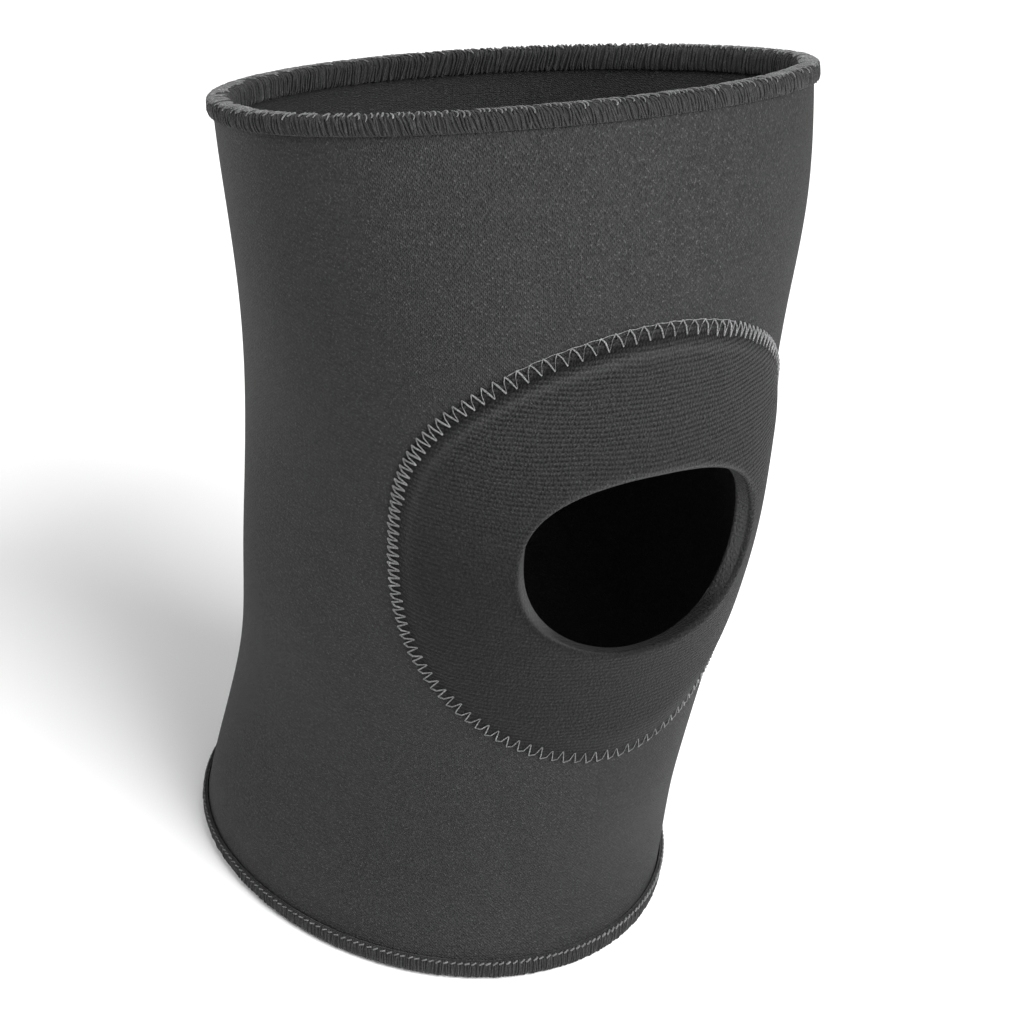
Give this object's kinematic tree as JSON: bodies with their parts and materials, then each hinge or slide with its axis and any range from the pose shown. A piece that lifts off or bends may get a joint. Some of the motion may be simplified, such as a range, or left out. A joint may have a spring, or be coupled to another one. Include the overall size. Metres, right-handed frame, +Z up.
{
  "type": "knee sleeve",
  "caption": "Pull-on neoprene knee support: a bent tube with overlocked ends and a padded ring round an open kneecap.",
  "frame": {"origin": "middle of the bounding box, on the surface that the calf edge stands on", "axes": "+Z up along the shin from the calf edge to the thigh edge; the kneecap opening faces -Y and the thigh end leans back to +Y; X runs across the knee"},
  "size_m": [0.15, 0.1481, 0.2235],
  "materials": {
    "neoprene_jersey": "matt charcoal jersey bonded to both faces of neoprene foam",
    "ribbed_jersey": "matt charcoal jersey with fine ribs, over a thin pad",
    "overlock_thread": "dense overlock stitching in textured charcoal thread"
  },
  "bodies": {
    "root": {"sleeve_body": "neoprene_jersey", "kneecap_ring": "ribbed_jersey", "calf_hem": "overlock_thread", "thigh_hem": "overlock_thread"}
  },
  "joints": []
}
